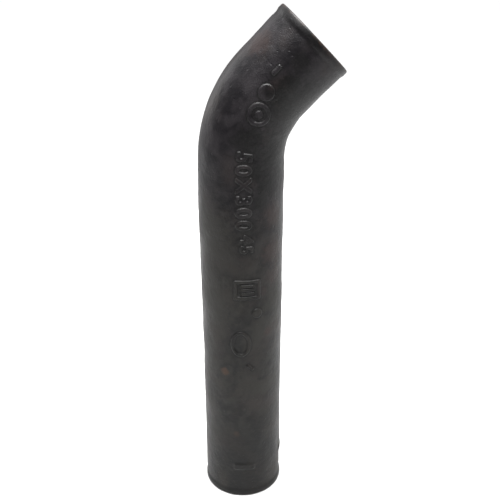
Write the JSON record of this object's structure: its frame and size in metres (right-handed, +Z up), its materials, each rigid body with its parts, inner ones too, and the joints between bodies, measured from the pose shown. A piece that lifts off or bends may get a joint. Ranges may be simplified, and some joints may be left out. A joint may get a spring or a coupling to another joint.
{
  "type": "flue elbow",
  "caption": "Black-coated cast-iron 45 degree pipe elbow with a long leg and beaded spigot ends for sleeve couplings; turns a flue, vent or drain run.",
  "frame": {"origin": "centre of the long leg's end face, where the pipe below it would begin", "axes": "+Z up the long leg's centreline, the short leg leans towards +X in the XZ plane, the raised casting marks face -Y"},
  "size_m": [0.1011, 0.0612, 0.3753],
  "materials": {
    "black_iron": "grey iron dipped in black bituminous paint, half matte, mottled, with brown rust tints at the rims and small rust spots"
  },
  "bodies": {
    "root": {"elbow_casting": "black_iron"}
  },
  "joints": []
}
